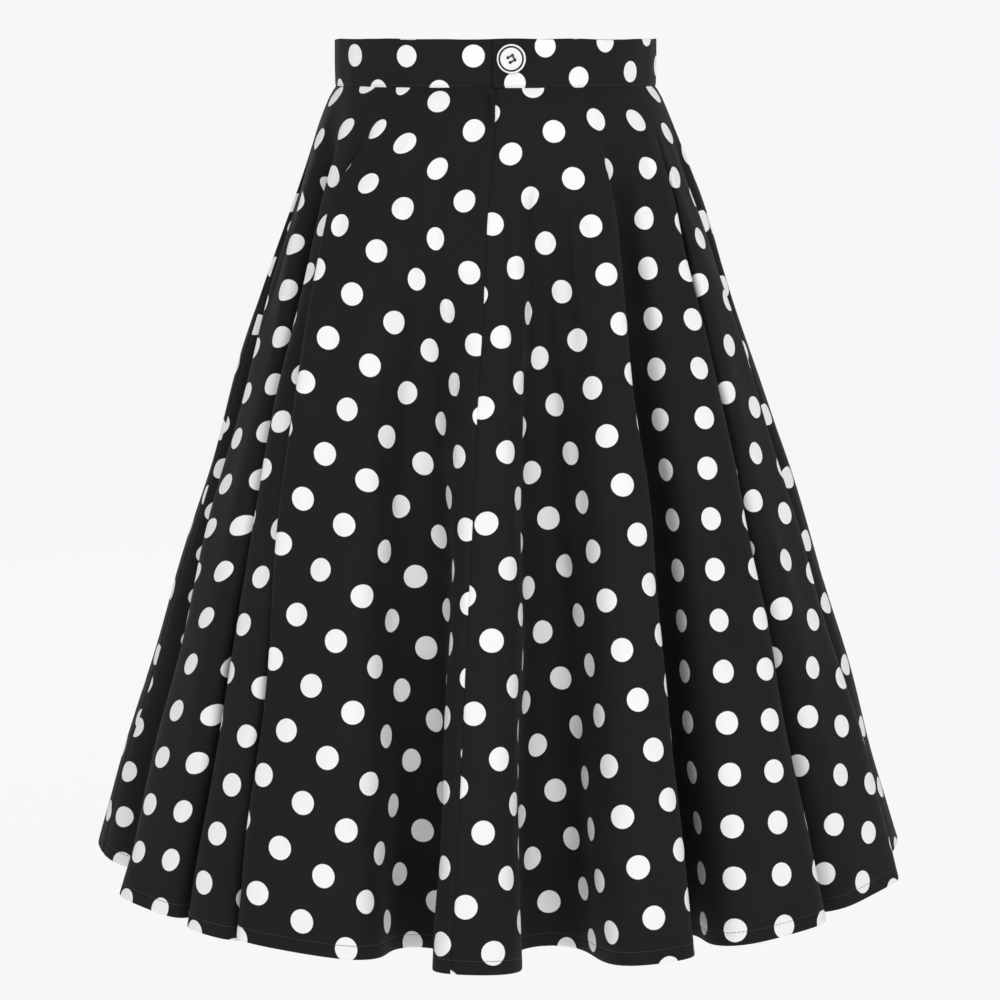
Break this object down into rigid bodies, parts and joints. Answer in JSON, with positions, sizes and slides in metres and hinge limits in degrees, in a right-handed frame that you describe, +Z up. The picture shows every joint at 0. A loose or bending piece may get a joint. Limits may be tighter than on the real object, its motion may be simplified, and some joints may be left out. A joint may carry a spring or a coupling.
{
  "type": "flared skirt",
  "caption": "Knee-length full-circle skirt with a straight waistband, a back button and a concealed back zip, filled out as worn.",
  "frame": {"origin": "the middle of the waist, at half the height of the waistband, where the wearer's waist holds the skirt up", "axes": "+Z up along the wearer, -Y towards the centre back with its button and zip, +X towards the right side seam"},
  "size_m": [0.6791, 0.6109, 0.6909],
  "materials": {
    "dotted_cotton": "black cotton printed with round white dots",
    "button": "white, with a black ring",
    "zip_tape": "woven polyester tape",
    "zip_metal": "black enamel"
  },
  "bodies": {
    "skirt": {"front_panel": "dotted_cotton", "back_left_panel": "dotted_cotton", "back_right_panel": "dotted_cotton", "waistband": "dotted_cotton", "button": "button", "zip_tape": "zip_tape", "zip_slider": "zip_metal"},
    "pull_tab": {"pull_tab": "zip_metal"}
  },
  "joints": [
    {"name": "pull_tab_hinge", "type": "hinge", "parent": "skirt", "child": "pull_tab", "pos_m": [-0.0042, -0.10216, -0.02085], "axis": [-1, 0, 0], "range_deg": [0, 150]}
  ]
}
